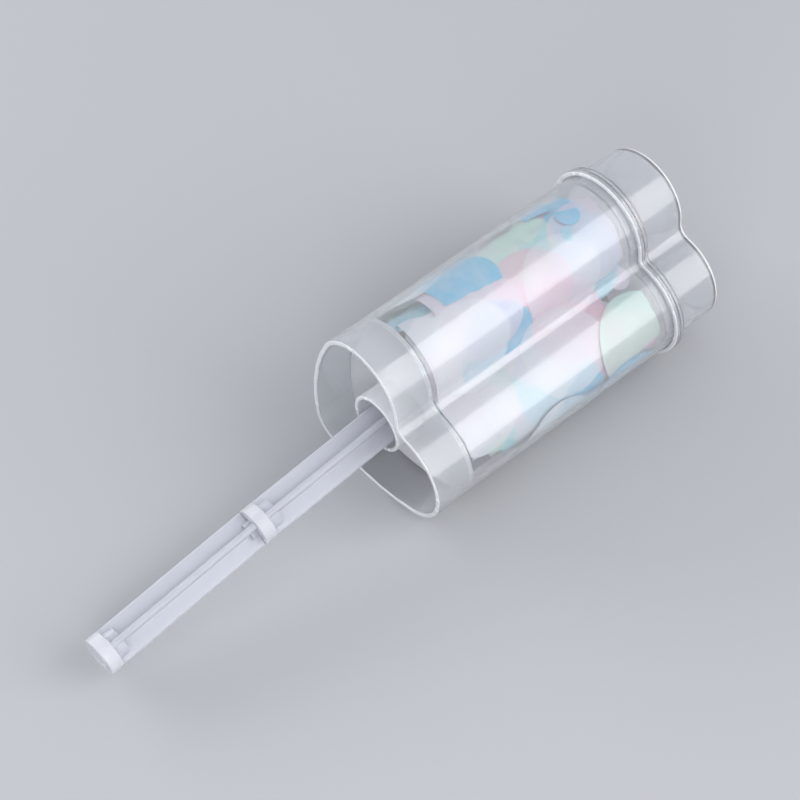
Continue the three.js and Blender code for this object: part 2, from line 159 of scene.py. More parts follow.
class HeartSettings(bpy.types.PropertyGroup):
    """Heart section of the barrel, measured outside at the near mouth."""

    width: length("Width", "Barrel width over both lobes", 0.052, 0.02)
    lobe_radius: length("Lobe Radius", "Radius of each lobe", 0.0144, 0.002)
    tip_radius: length("Tip Radius", "Radius of the heart's point", 0.0083, 0.002)
    side_radius: length("Side Radius", "Radius of the long side between lobe and point", 0.0536, 0.02)
    cleft_radius: length("Cleft Radius", "Hollow radius between the lobes", 0.0034, 0.0005)
    lobe_above_axis: length("Lobe Above Axis", "Height of the lobe centres over the stick's axis", 0.0055)
    lobe_to_tip: length("Lobe To Tip", "Distance from the lobe centres down to the tip centre", 0.0229, 0.005)


class BarrelSettings(bpy.types.PropertyGroup):
    """Clear barrel, open at both ends."""

    length: length("Length", "Length of the barrel", 0.0844, 0.02)
    wall: length("Wall", "Wall thickness", 0.0012, 0.0004)
    draft: length("Draft", "How much the section grows on each side from the near to the far end", 0.00035)
    lip_round: length("Lip Round", "Rounding of the near lip", 0.0002)


class CapSettings(bpy.types.PropertyGroup):
    """Clear cap that clips over the barrel's far end."""

    fit_gap: length("Fit Gap", "Clearance between cap and barrel", 0.0003)
    wall: length("Wall", "Wall of the cup and the ledge", 0.001, 0.0004)
    skirt_depth: length("Skirt Depth", "How far the skirt reaches down outside the barrel", 0.002)
    skirt_wall: length("Skirt Wall", "Wall of the skirt", 0.00106)
    skirt_groove: length("Skirt Groove", "Depth of the groove round the skirt", 0.0003)
    plug_depth: length("Plug Depth", "How far the plug reaches down inside the barrel", 0.0036)
    plug_wall: length("Plug Wall", "Wall of the plug", 0.0007)
    cup_height: length("Cup Height", "Height of the cup over the ledge", 0.01499)
    cup_draft: length("Cup Draft", "How much the cup narrows on each side to its end", 0.00035)
    edge_round: length("Edge Round", "Rounding of the cup's end", 0.0009)


class PusherSettings(bpy.types.PropertyGroup):
    """Heart-shaped pusher with collar and hub."""

    inset: length("Inset", "Depth of the plate's near face in the barrel", 0.0111)
    thickness: length("Thickness", "Thickness of the plate", 0.0014)
    edge_round: length("Edge Round", "Rounding of the plate's edges", 0.00025)
    collar_diameter: length("Collar Diameter", "Outside diameter of the collar", 0.0166)
    collar_wall: length("Collar Wall", "Wall of the collar", 0.0011)
    collar_height: length("Collar Height", "Height of the collar over the plate's near face", 0.0088)
    hub_wall: length("Hub Wall", "Wall of the blind hub behind the plate", 0.0012)
    hub_floor: length("Hub Floor", "Floor of the blind hub", 0.001)
    nub_diameter: length("Gate Nub Diameter", "Diameter of the moulding nub near the point", 0.0022)
    nub_height: length("Gate Nub Height", "Height of the moulding nub", 0.001)
    nub_from_tip: length("Gate Nub From Tip", "Distance of the nub from the plate's point", 0.0026)


class StickSettings(bpy.types.PropertyGroup):
    """Push stick of two like halves."""

    diameter: length("Diameter", "Diameter over the fins", 0.0103)
    fin_thickness: length("Fin Thickness", "Thickness of a fin", 0.0017)
    fin_root_round: length("Fin Root Round", "Fillet between two fins", 0.0005)
    half_length: length("Half Length", "Length of a half without its spigot", 0.04889)
    disc_diameter: length("End Disc Diameter", "Diameter of the round end disc", 0.01048)
    disc_thickness: length("End Disc Thickness", "Thickness of the round end disc", 0.0036)
    disc_round: length("End Disc Round", "Rounding of the end disc", 0.0003)
    spigot_diameter: length("Spigot Diameter", "Diameter of the spigot", 0.005)
    spigot_length: length("Spigot Length", "Length of the spigot", 0.0054)
    socket_gap: length("Socket Gap", "Clearance round the spigot", 0.0003)
    socket_end_gap: length("Socket End Gap", "Clearance beyond the spigot's end", 0.0004)
    boss_wall: length("Boss Wall", "Wall round the socket", 0.001)
    shoulder_gap: length("Shoulder Gap", "Gap between the stick's shoulder and the plate", 0.001)
    droop: angle("Droop", "How far the stick hangs from the barrel's axis", 6.3)
    sway: angle("Sway", "How far the stick points aside of the barrel's axis", 0.5)
    spigot_tilt: angle("Spigot Tilt", "How far the outer half sits askew on the inner one's spigot", 1.1)
    clocking: angle("Clocking", "Turn of the fins about the stick", -22)


class TissueSettings(bpy.types.PropertyGroup):
    """Tissue confetti between pusher and cap."""

    diameter: length("Diameter", "Diameter of a disc", 0.025, 0.005)
    thickness: length("Thickness", "Thickness of the tissue", 0.00009, 0.00002)
    wall_gap: length("Wall Gap", "Room between the wall and the outermost discs", 0.00035)
    least_gap: length("Least Gap", "Room that is left where a fold comes close to the wall", 0.00012)
    end_gap: length("End Gap", "Room left before the plate and before the plug", 0.0012)
    layer: length("Layer", "How much deeper a disc lies than the one over it", 0.00017)
    rumple: length("Rumple", "Height of the soft folds that all wall discs share", 0.0006)
    crinkle: length("Crinkle", "Height of each disc's own crinkles", 0.0003)
    back_rows: count("Back Rows", "Rows of discs on the far side", 4, 2)
    back_columns: count("Back Columns", "Discs in one row on the far side", 6, 2)
    under_count: count("Under Discs", "Discs behind the wall discs", 44, 1)
    loose_count: count("Loose Discs", "Discs in the middle of the fill", 26, 2)
    below_axis: length("Below Axis", "How far the loose discs lie below the stick's axis", 0.003)
    wall_keep: share("Wall Keep", "Share of the fill's length that is left when it is pressed", 0.09)
    loose_keep: share("Loose Keep", "The same for the loose discs in front of the hub", 0.04)


class FinishSettings(bpy.types.PropertyGroup):
    """Colours and gloss of the plastics and the tissue."""

    clear: colour("Clear Plastic", "Tint of barrel and cap", (0.955, 0.965, 0.985, 1.0))
    # Painted highlight: the lip tint makes the moulded lips and edges whiter, for the bright lines of light
    # on them
    lip: colour("Lip", "Whiter tint of the moulded lips and edges", (0.88, 0.885, 0.91, 1.0))
    milky: colour("Milky Plastic", "Tint of the pusher", (0.96, 0.965, 0.985, 1.0))
    frosted: colour("Frosted Plastic", "Tint of the stick", (0.78, 0.79, 0.85, 1.0))
    # Painted highlight: the disc tint makes the stick's thick end discs whiter than its fins
    disc: colour("Stick Disc", "Whiter tint of the stick's thick end discs", (0.84, 0.845, 0.885, 1.0))
    pink: colour("Pink Tissue", "Pale pink discs; alpha is how opaque the tissue is", (0.98, 0.42, 0.60, 0.6))
    sky: colour("Sky Tissue", "Sky blue discs", (0.04, 0.60, 0.92, 0.88))
    white: colour("White Tissue", "White discs", (0.95, 0.95, 0.97, 0.6))
    mint: colour("Mint Tissue", "Pale mint discs", (0.54, 0.93, 0.72, 0.62))
    ice: colour("Ice Tissue", "Pale blue discs", (0.20, 0.78, 0.94, 0.6))
    blush: colour("Blush Tissue", "Nearly white pink discs", (0.96, 0.76, 0.88, 0.6))
    veil: colour("Veil Tissue", "Thin white discs", (0.96, 0.96, 0.98, 0.38))


class StageSettings(bpy.types.PropertyGroup):
    """Floor, light and camera."""

    floor_size: length("Floor Size", "Side of the floor", 3.0)
    floor_colour: colour("Floor", "Pale floor", (0.395, 0.4, 0.415, 1.0))
    lens: FloatProperty(name="Lens", description="Focal length of the camera", default=96.65,
                        subtype="DISTANCE_CAMERA")


def group(kind):
    """A group of settings as one setting, with the name and the description of its class."""
    return PointerProperty(type=kind, name=kind.__name__.removesuffix("Settings"), description=kind.__doc__)


class PushPopSettings(bpy.types.PropertyGroup):
    """All settings of the push pop."""

    heart: group(HeartSettings)
    barrel: group(BarrelSettings)
    cap: group(CapSettings)
    pusher: group(PusherSettings)
    stick: group(StickSettings)
    tissue: group(TissueSettings)
    finish: group(FinishSettings)
    stage: group(StageSettings)


# Places that several pieces share


class Layout:
    """Lengths along the barrel and offsets from its outline that pieces share, and how the barrel lies."""

    def __init__(self, settings):
        barrel, cap, pusher, stick = settings.barrel, settings.cap, settings.pusher, settings.stick
        self.skirt_inside = barrel.draft + cap.fit_gap
        self.skirt_outside = self.skirt_inside + cap.skirt_wall
        self.ledge = barrel.length + cap.fit_gap
        self.skirt_end = self.ledge - cap.skirt_depth
        self.ledge_top = self.ledge + cap.wall
        self.cup_end = self.ledge_top + cap.cup_height
        self.plug_end = self.ledge - cap.plug_depth
        self.plug_outside = barrel.draft - barrel.wall - cap.fit_gap
        self.cup_outside = self.plug_outside + cap.wall
        self.plate_far = pusher.inset + pusher.thickness
        self.plate_edge = -barrel.wall - cap.fit_gap
        self.shoulder = pusher.inset - stick.shoulder_gap
        self.hub_bottom = self.shoulder + stick.spigot_length + stick.socket_end_gap
        self.rock_centre = (pusher.inset + self.hub_bottom) / 2
        swing = (self.hub_bottom - pusher.inset) / 2 * math.tan(stick.droop)
        self.hub_bore = stick.spigot_diameter / 2 / math.cos(stick.droop) + swing + stick.socket_gap
        self.hub_radius = self.hub_bore + pusher.hub_wall
        self.hub_end = self.hub_bottom + pusher.hub_floor
        self.inner_line = -barrel.wall - settings.tissue.wall_gap
        self.outline = HeartOutline(settings.heart)
        # The heart is turned to lie on the middle of one long side
        self.turn = math.pi / 2 + self.outline.rest_normal
        self.place = self.laying()

    def laying(self):
        """Matrix from the barrel's own frame to the fixed frame, by the axis and the pivot of its joints."""
        axis = Vector(JOINTS["pusher_slide"]["axis"]).normalized()
        pivot = Vector(JOINTS["stick_rock"]["pos_m"])
        tilt = Vector((1, 0, 0)).rotation_difference(axis).to_matrix()
        across = tilt @ Vector((0, math.cos(self.turn), math.sin(self.turn)))
        matrix = Matrix((axis, across, axis.cross(across))).transposed().to_4x4()
        matrix.translation = pivot - axis * self.rock_centre
        return matrix


class HeartOutline:
    """The heart as arcs, from the cleft round one lobe to the tip and back, with each corner's way out."""

    def __init__(self, heart, fineness=1.0):
        lobe_side = heart.width / 2 - heart.lobe_radius
        lobe = Vector((lobe_side, heart.lobe_above_axis))
        tip = Vector((0, heart.lobe_above_axis - heart.lobe_to_tip))
        to_lobe = heart.side_radius - heart.lobe_radius
        to_tip = heart.side_radius - heart.tip_radius
        between = tip - lobe
        apart = between.length
        along = (to_lobe ** 2 - to_tip ** 2 + apart ** 2) / (2 * apart)
        aside = math.sqrt(max(to_lobe ** 2 - along ** 2, 0.0))
        way = between / apart
        side = lobe + way * along + Vector((way.y, -way.x)) * aside
        lobe_end = math.atan2(lobe.y - side.y, lobe.x - side.x)
        side_end = math.atan2(tip.y - side.y, tip.x - side.x)
        lobe_and_cleft = heart.lobe_radius + heart.cleft_radius
        cleft_height = heart.lobe_above_axis + math.sqrt(lobe_and_cleft ** 2 - lobe_side ** 2)
        cleft_end = math.atan2(lobe.y - cleft_height, lobe_side)
        # For each arc: centre, radius, start, end, steps, and whether its spokes point out of the heart
        arcs = (
            (Vector((0, cleft_height)), heart.cleft_radius, -math.pi / 2, cleft_end, 8, -1),
            (lobe, heart.lobe_radius, cleft_end + math.pi, lobe_end, 36, 1),
            (side, heart.side_radius, lobe_end, side_end, 5, 1),
            (tip, heart.tip_radius, side_end, -math.pi / 2, 12, 1),
        )
        half = []
        for centre, radius, start, end, steps, way_out in arcs:
            steps = max(2, round(steps * fineness))
            for i in range(steps):
                turn = start + (end - start) * i / steps
                spoke = Vector((math.cos(turn), math.sin(turn)))
                half.append((centre + spoke * radius, spoke * way_out))
        bottom = (tip - Vector((0, heart.tip_radius)), Vector((0, -1)))
        other_half = [(Vector((-place.x, place.y)), Vector((-out.x, out.y)))
                      for place, out in reversed(half[1:])]
        self.corners = [*half, bottom, *other_half]
        self.rest_normal = (lobe_end + side_end) / 2
        self.tip_centre = tip

    def ring(self, x, grow):
        """The outline grown by grow, at x along the barrel."""
        return [Vector((x, *(place + out * grow))) for place, out in self.corners]


# Making meshes


def linked(name, data):
    """A new object in the scene that holds the data."""
    made = bpy.data.objects.new(name, data)
    bpy.context.scene.collection.objects.link(made)
    return made


def rounded(x, y, radius, start, end, steps=5):
    """Points that round the corner at (x, y), from angle start to angle end in degrees; 0 is along x."""
    middle = math.radians((start + end) / 2)
    centre_x = x - math.copysign(radius, math.cos(middle))
    centre_y = y - math.copysign(radius, math.sin(middle))
    turns = [math.radians(start + (end - start) * i / steps) for i in range(steps + 1)]
    return [(centre_x + radius * math.cos(turn), centre_y + radius * math.sin(turn)) for turn in turns]


def shape_through(name, rings, closed=False):
    """A shape through rings of corners: closed as a tube's wall is, or with a face on each end ring."""
    made = bmesh.new()
    loops = [[made.verts.new(corner) for corner in ring] for ring in rings]
    for near, far in zip(loops, loops[1:] + loops[:1] if closed else loops[1:]):
        for i in range(max(len(near), len(far))):
            corners = []
            for loop, place in ((near, i), (near, i + 1), (far, i + 1), (far, i)):
                vertex = loop[place % len(loop)]
                if vertex not in corners:
                    corners.append(vertex)
            made.faces.new(corners)
    for loop in () if closed else (loops[0], loops[-1]):
        if len(loop) > 1:
            made.faces.new(loop)
    bmesh.ops.recalc_face_normals(made, faces=made.faces)
    mesh = bpy.data.meshes.new(name)
    made.to_mesh(mesh)
    made.free()
    return linked(name, mesh)


def heart_shell(name, outline, profile, closed=False):
    """A shape through heart outlines; profile points are (x, how much the outline is grown)."""
    return shape_through(name, [outline.ring(x, grow) for x, grow in profile], closed)


def turned(name, profile, segments=64):
    """A solid turned about the x axis; profile points are (x, radius), and both ends are closed."""
    turns = [2 * math.pi * i / segments for i in range(segments)]
    rings = [[(x, radius * math.cos(turn), radius * math.sin(turn)) for turn in turns]
             for x, radius in profile]
    return shape_through(name, [[(profile[0][0], 0, 0)], *rings, [(profile[-1][0], 0, 0)]])


def run_modifier(shape, kind, inputs=None, **settings):
    """Runs one modifier on a shape and keeps what it makes as the shape's plain mesh; inputs are a tree's."""
    modifier = shape.modifiers.new(kind, kind)
    for key, value in settings.items():
        setattr(modifier, key, value)
    if inputs:
        for item in modifier.node_group.interface.items_tree:
            if item.name in inputs:
                modifier[item.identifier] = inputs[item.name]
    mesh = bpy.data.meshes.new_from_object(shape.evaluated_get(bpy.context.evaluated_depsgraph_get()))
    shape.modifiers.remove(modifier)
    old = shape.data
    shape.data = mesh
    bpy.data.meshes.remove(old)
    mesh.name = shape.name


def joined(base, *steps):
    """Joins and cuts shapes one after another; a step is ("UNION" or "DIFFERENCE", shape)."""
    for operation, other in steps:
        run_modifier(base, "BOOLEAN", operation=operation, solver="EXACT", object=other)
        bpy.data.meshes.remove(other.data)
    return base


def finished(shape, place, finish, sharp_degrees=35):
    """Turns a shape into a finished piece: its place goes into its mesh, and its edges are kept crisp."""
    shape.data.transform(place)
    shape.data.shade_smooth()
    shape.data.set_sharp_from_angle(angle=math.radians(sharp_degrees))
    run_modifier(shape, "WEIGHTED_NORMAL", keep_sharp=True)
    shape.data.materials.clear()
    shape.data.materials.append(finish)


def moulded(shape, settings, place, finish, whiter, spans):
    """Finishes a moulding; its ends and edges, which spans give along its own x axis, are whiter."""
    finished(shape, place, plastic(settings, finish))
    # With the lip and disc finishes, the whiter faces are a painted highlight
    shape.data.materials.append(plastic(settings, whiter))
    back = place.inverted()
    for face in shape.data.polygons:
        x = (back @ face.center).x
        if any(low < x < high for low, high in spans):
            face.material_index = 1
    return shape


# Node trees


class Term:
    """A number in a node tree, written with arithmetic signs."""

    def __init__(self, maker, socket):
        self.maker = maker
        self.socket = socket

    def through(self, operation, *others):
        """The number that comes out of a math node."""
        node = self.maker.add("ShaderNodeMath", dict(enumerate((self, *others))), operation=operation)
        return Term(self.maker, node.outputs[0])

    def __add__(self, other):
        return self.through("ADD", other)

    def __sub__(self, other):
        return self.through("SUBTRACT", other)

    def __mul__(self, other):
        return self.through("MULTIPLY", other)

    def __truediv__(self, other):
        return self.through("DIVIDE", other)


class TreeMaker:
    """Adds nodes to a geometry or shader tree and links them."""

    def __init__(self, tree):
        self.tree = tree

    def add(self, kind, inputs=None, **settings):
        """A new node with its settings and inputs."""
        node = self.tree.nodes.new(kind)
        for key, value in settings.items():
            setattr(node, key, value)
        self.fill(node, inputs or {})
        return node

    def fill(self, node, inputs):
        """Links or sets inputs, by name or number; each gets a value, a socket or a Term."""
        for key, value in inputs.items():
            if isinstance(value, Term):
                value = value.socket
            if isinstance(value, bpy.types.NodeSocket):
                self.tree.links.new(value, node.inputs[key])
            else:
                node.inputs[key].default_value = value

    def term(self, socket):
        return Term(self, socket)

    def vector(self, x, y, z):
        return self.add("ShaderNodeCombineXYZ", {0: x, 1: y, 2: z}).outputs[0]

    def vectors(self, operation, *values):
        """What comes out of a vector math node."""
        return self.add("ShaderNodeVectorMath", dict(enumerate(values)), operation=operation).outputs[0]

    def noise(self, place, scale, detail, roughness=0.5):
        inputs = {"Vector": place, "Scale": scale, "Detail": detail, "Roughness": roughness}
        return self.term(self.add("ShaderNodeTexNoise", inputs).outputs[0])

    def mixed(self, part, one, other):
        """A colour between two colours."""
        return self.add("ShaderNodeMix", {"Factor": part, 6: one, 7: other}, data_type="RGBA").outputs[2]

    def ranged(self, value, low, high, to_low, to_high):
        """The number stretched from one range to another."""
        inputs = {"Value": value, "From Min": low, "From Max": high, "To Min": to_low, "To Max": to_high}
        return self.add("ShaderNodeMapRange", inputs).outputs[0]

    def bump(self, height, strength, distance):
        inputs = {"Height": height, "Strength": strength, "Distance": distance}
        return self.add("ShaderNodeBump", inputs).outputs[0]

    def position(self):
        """The three numbers of each point's position."""
        place = self.add("GeometryNodeInputPosition").outputs[0]
        return [self.term(output) for output in self.add("ShaderNodeSeparateXYZ", {0: place}).outputs]

    def moved(self, geometry, place):
        return self.add("GeometryNodeSetPosition", {"Geometry": geometry, "Position": place}).outputs[0]

    def stored(self, geometry, **values):
        """The geometry with a number kept at each point under each name."""
        for name, value in values.items():
            inputs = {"Geometry": geometry, "Name": name, "Value": value}
            store = self.add("GeometryNodeStoreNamedAttribute", inputs, data_type="FLOAT", domain="POINT")
            geometry = store.outputs[0]
        return geometry

    def named(self, name):
        node = self.add("GeometryNodeInputNamedAttribute", {"Name": name}, data_type="FLOAT")
        return self.term(node.outputs["Attribute"])

    def placed(self, points, instance, **inputs):
        """The instance at each point, made real."""
        spread = self.add("GeometryNodeInstanceOnPoints", {"Points": points, "Instance": instance, **inputs})
        return self.add("GeometryNodeRealizeInstances", {"Geometry": spread.outputs[0]}).outputs[0]

    def end(self, geometry, material):
        """Sets the material and gives the geometry out."""
        dressed = self.add("GeometryNodeSetMaterial", {"Geometry": geometry, "Material": material})
        self.add("NodeGroupOutput", {0: dressed.outputs[0]})


def new_geometry_tree(name, **inputs):
    """A geometry tree, its maker, and its inputs by name; each kind of input comes with its names."""
    tree = bpy.data.node_groups.new(name, "GeometryNodeTree")
    for kind, labels in inputs.items():
        for label in labels:
            tree.interface.new_socket(name=label, in_out="INPUT", socket_type="NodeSocket" + kind)
    tree.interface.new_socket(name="Result", in_out="OUTPUT", socket_type="NodeSocketGeometry")
    maker = TreeMaker(tree)
    start = maker.add("NodeGroupInput")
    given = {label: start.outputs[label] for labels in inputs.values() for label in labels}
    for label in (*inputs["Float"], *inputs.get("Int", ())):
        given[label] = maker.term(given[label])
    return tree, maker, given


def tissue_disc(maker, given, fineness):
    """A flat closed disc about the origin: a thin grid box whose square is drawn into a circle."""
    box = maker.add("GeometryNodeMeshCube", {
        "Size": (2, 2, 1), "Vertices X": fineness, "Vertices Y": fineness, "Vertices Z": 2,
    })
    a, b, through = maker.position()
    radius = given["Disc Diameter"] / 2.0
    x = a * (b * b * -0.5 + 1.0).through("SQRT") * radius
    y = b * (a * a * -0.5 + 1.0).through("SQRT") * radius
    return maker.moved(box.outputs["Mesh"], maker.vector(x, y, through * given["Disc Thickness"]))


def folds_of(maker, x, y, seed, folds, detail):
    """Soft folds as a number about zero."""
    return maker.noise(maker.vector(x, y, seed), folds, detail, roughness=0.55) - 0.5


def folded_over(maker, x, s, which):
    """Turns what lies beyond a disc's crease back over the disc, and says how far beyond it lay."""
    turn = maker.named(f"turn_{which}")
    way_x, way_s = turn.through("COSINE"), turn.through("SINE")
    from_centre = (x - maker.named("centre_x")) * way_x + (s - maker.named("centre_s")) * way_s
    beyond = (from_centre - maker.named(f"crease_{which}")).through("MAXIMUM", 0.0)
    return x - way_x * beyond * 2.0, s - way_s * beyond * 2.0, beyond


def wall_tissue_tree():
    """Tissue discs laid on the inside of a closed outline, each bent with it and some folded over.

    The places are points: x along the barrel, y along the outline, z the disc's depth."""
    tree, maker, given = new_geometry_tree(
        "Wall tissue", Geometry=("Places",), Object=("Outline",), Material=("Tissue",),
        Float=("Girth", "Disc Diameter", "Disc Thickness", "Rumple", "Crinkle", "Folds", "Fold Height",
               "Least Depth", "Draft"))
    centre_x, centre_s, depth = maker.position()
    places = maker.stored(given["Places"], centre_x=centre_x, centre_s=centre_s, depth=depth)
    flat = maker.vector(centre_x, centre_s, 0.0)
    points = maker.add("GeometryNodeMeshToPoints", {"Mesh": places, "Position": flat})
    size = maker.named("size")
    disc = tissue_disc(maker, given, fineness=26)
    real = maker.placed(points.outputs[0], disc, Scale=maker.vector(size, size, 1.0))

    x, s, through = maker.position()
    x, s, beyond_first = folded_over(maker, x, s, 1)
    x, s, beyond_second = folded_over(maker, x, s, 2)
    over = ((beyond_first + beyond_second) * FOLD_SLOPE).through("MINIMUM", given["Fold Height"])
    real = maker.stored(real, flat_x=x, flat_s=s)
    from_x, from_s = x - maker.named("centre_x"), s - maker.named("centre_s")
    together = folds_of(maker, x, s, 0.0, given["Folds"], 1.5)
    alone = folds_of(maker, x, s, maker.named("centre_x") * SEED_PER_METRE, given["Folds"] * OWN_FOLDS, 2.5)
    lean = maker.named("slope_x") * from_x + maker.named("slope_s") * from_s
    inward = maker.named("depth") + lean + together * given["Rumple"] + alone * given["Crinkle"] + over
    inward = inward.through("MAXIMUM", given["Least Depth"]) + through - x * given["Draft"]
    wrapped = s - (s / given["Girth"]).through("FLOOR") * given["Girth"]
    line = maker.add("GeometryNodeObjectInfo", {"Object": given["Outline"]}).outputs["Geometry"]
    sample = maker.add("GeometryNodeSampleCurve", {"Curves": line}, mode="LENGTH", use_all_curves=True)
    maker.fill(sample, {"Length": wrapped})
    outward = maker.vectors("NORMALIZE", maker.vectors("CROSS_PRODUCT", (1, 0, 0), sample.outputs["Tangent"]))
    out = inward * -1.0
    on_wall = maker.vectors("ADD", sample.outputs["Position"], maker.vector(x, 0.0, 0.0))
    place = maker.vectors("ADD", on_wall, maker.vectors("MULTIPLY", outward, maker.vector(out, out, out)))
    maker.end(maker.moved(real, place), given["Tissue"])
    return tree


def loose_tissue_tree():
    """Crumpled discs in a loose stack along x, each leaning another way."""
    tree, maker, given = new_geometry_tree(
        "Loose tissue", Geometry=("Seed",), Material=("Tissue",), Int=("Count",),
        Float=("Disc Diameter", "Disc Thickness", "From", "Pitch", "Lean", "Height", "Crumple", "Folds"))
    index = maker.term(maker.add("GeometryNodeInputIndex").outputs[0])
    line = maker.vector(given["From"] + index * given["Pitch"], 0.0, given["Height"])
    points = maker.add("GeometryNodePoints", {"Count": given["Count"], "Position": line}).outputs[0]
    flat = tissue_disc(maker, given, fineness=20)
    a, b, through = maker.position()
    facing = maker.moved(flat, maker.vector(through, a, b))
    lean = maker.add("FunctionNodeRotateEuler", {"Rotation": maker.vector(0.0, given["Lean"], 0.0),
                                                 "Rotate By": maker.vector(index * GOLDEN_ANGLE, 0.0, 0.0)})
    real = maker.placed(maker.stored(points, disc=index), facing, Rotation=lean.outputs[0])
    x, y, z = maker.position()
    folds = folds_of(maker, y, z, maker.named("disc") * SEED_PER_DISC, given["Folds"], 1.5)
    maker.end(maker.moved(real, maker.vector(x + folds * given["Crumple"], y, z)), given["Tissue"])
    return tree


# Materials


def new_finish(name):
    """A new material: itself, what adds its nodes, its shader, and the place on the piece."""
    material = bpy.data.materials.new(name)
    material.use_nodes = True
    maker = TreeMaker(material.node_tree)
    shader = material.node_tree.nodes["Principled BSDF"]
    return material, maker, shader, maker.add("ShaderNodeTexCoord").outputs["Object"]


def shaded(tint, factor):
    """A colour made darker or lighter."""
    return [channel * factor for channel in tint[:3]] + [1.0]


# For each tint in the settings: the material's name, how much light passes, roughness, and how wavy it is
PLASTICS = {
    "clear": ("Clear plastic", 0.88, 0.14, 0.1),
    # The lip and disc finishes are painted highlights: whiter, less clear faces on lips, edges and end discs
    "lip": ("Clear plastic lip", 0.25, 0.25, 0.05),
    "milky": ("Milky plastic", 0.5, 0.4, 0.08),
    "frosted": ("Frosted plastic", 0.6, 0.4, 0.08),
    "disc": ("Frosted plastic disc", 0.5, 0.4, 0.08),
}


def plastic(settings, kind):
    """Moulded plastic: slow waves of the mould along the piece, and a haze and gloss that vary a little."""
    name, transmission, roughness, waviness = PLASTICS[kind]
    if name in bpy.data.materials:
        return bpy.data.materials[name]
    tint = getattr(settings.finish, kind)
    material, maker, shader, place = new_finish(name)
    drawn = maker.add("ShaderNodeMapping", {"Vector": place, "Scale": (0.35, 1.0, 1.0)}).outputs[0]
    waves = maker.noise(drawn, scale=90.0, detail=1.0, roughness=0.4)
    cloud = maker.noise(drawn, scale=140.0, detail=2.0)
    maker.fill(shader, {
        "Base Color": maker.mixed(cloud, tint, shaded(tint, 0.97)),
        "Transmission Weight": transmission,
        "IOR": 1.49,
        "Roughness": maker.ranged(cloud, 0.3, 0.7, roughness * 0.85, roughness * 1.2),
        "Normal": maker.bump(waves, strength=waviness, distance=0.001),
    })
    return material


def tissue_paper():
    """Soft tissue: the dye and painted shade put on the discs, faint mottling, and the crinkle of the sheet.
    """
    if "Tissue paper" in bpy.data.materials:
        return bpy.data.materials["Tissue paper"]
    material, maker, shader, place = new_finish("Tissue paper")
    # The dye attribute carries painted shade: the dark inside where tissue is thin, and layers darkened as in
    # shadow
    dye = maker.add("ShaderNodeAttribute", attribute_name="dye").outputs["Color"]
    cloud = maker.noise(place, scale=260.0, detail=3.0, roughness=0.6)
    crinkle = maker.noise(place, scale=1300.0, detail=3.0, roughness=0.65)
    maker.fill(shader, {
        "Base Color": maker.mixed(maker.ranged(cloud, 0.35, 0.75, 0.0, 0.3), dye, (0.93, 0.93, 0.95, 1.0)),
        "Roughness": 0.82,
        "Sheen Weight": 0.15,
        "Normal": maker.bump(crinkle, strength=0.35, distance=0.0003),
    })
    return material


# Pieces


class PUSHPOP_OT_barrel(bpy.types.Operator):
    """Make the clear barrel"""

    bl_idname = "push_pop.barrel"
    bl_label = "Barrel"

    def execute(self, context):
        settings = context.scene.push_pop
        barrel = settings.barrel
        at = Layout(settings)
        lip = barrel.lip_round
        end_round = lip / 2
        shell = heart_shell("barrel_tube", at.outline, [
            *rounded(0, 0, lip, 90, 180),
            *rounded(0, -barrel.wall, lip, 180, 270),
            *rounded(barrel.length, barrel.draft - barrel.wall, end_round, 270, 360, 3),
            *rounded(barrel.length, barrel.draft, end_round, 0, 90, 3),
        ], closed=True)
        # The lip finish on the near lip and the far end is a painted highlight
        whiter = [(-FAR_OFF, lip * JUST_OVER), (barrel.length - end_round, FAR_OFF)]
        piece = moulded(shell, settings, at.place, "clear", "lip", whiter)
        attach(piece, "barrel")
        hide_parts("barrel")
        return {"FINISHED"}


class PUSHPOP_OT_cap(bpy.types.Operator):
    """Make the clear cap with its grooved skirt and plug"""

    bl_idname = "push_pop.cap"
    bl_label = "Cap"

    def execute(self, context):
        settings = context.scene.push_pop
        cap = settings.cap
        at = Layout(settings)
        soft = cap.skirt_groove / 2
        edge = soft * 2
        middle = (at.skirt_end + at.ledge_top) / 2
        groove = at.skirt_outside - cap.skirt_groove
        plug_inside = at.plug_outside - cap.plug_wall
        inside = at.cup_outside - cap.wall - cap.fit_gap - cap.cup_draft
        shell = heart_shell("clip_cap", at.outline, [
            *rounded(at.cup_end - cap.wall, inside, cap.edge_round / 2, 0, 90),
            (at.ledge, plug_inside),
            *rounded(at.plug_end, plug_inside, soft, 270, 180, 3),
            *rounded(at.plug_end, at.plug_outside, soft, 180, 90, 3),
            (at.ledge, at.plug_outside),
            (at.ledge, at.skirt_inside),
            *rounded(at.skirt_end, at.skirt_inside, soft, 270, 180, 3),
            *rounded(at.skirt_end, at.skirt_outside, edge, 180, 90),
            (middle - soft * GROOVE_TOP, at.skirt_outside),
            (middle - soft * GROOVE_FLOOR, groove),
            (middle + soft * GROOVE_FLOOR, groove),
            (middle + soft * GROOVE_TOP, at.skirt_outside),
            *rounded(at.ledge_top, at.skirt_outside, edge, 90, 0),
            *rounded(at.ledge_top, at.cup_outside, soft, 180, 270, 3),
            *rounded(at.cup_end, at.cup_outside - cap.cup_draft, cap.edge_round, 90, 0, 7),
        ])
        # The lip finish on the skirt's edge and the cup's rounded end is a painted highlight
        whiter = [
            (at.skirt_end - soft, at.skirt_end + edge),
            (at.cup_end - cap.edge_round, at.cup_end - HAIR),
        ]
        piece = moulded(shell, settings, at.place, "clear", "lip", whiter)
        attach(piece, "cap")
        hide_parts("cap")
        return {"FINISHED"}


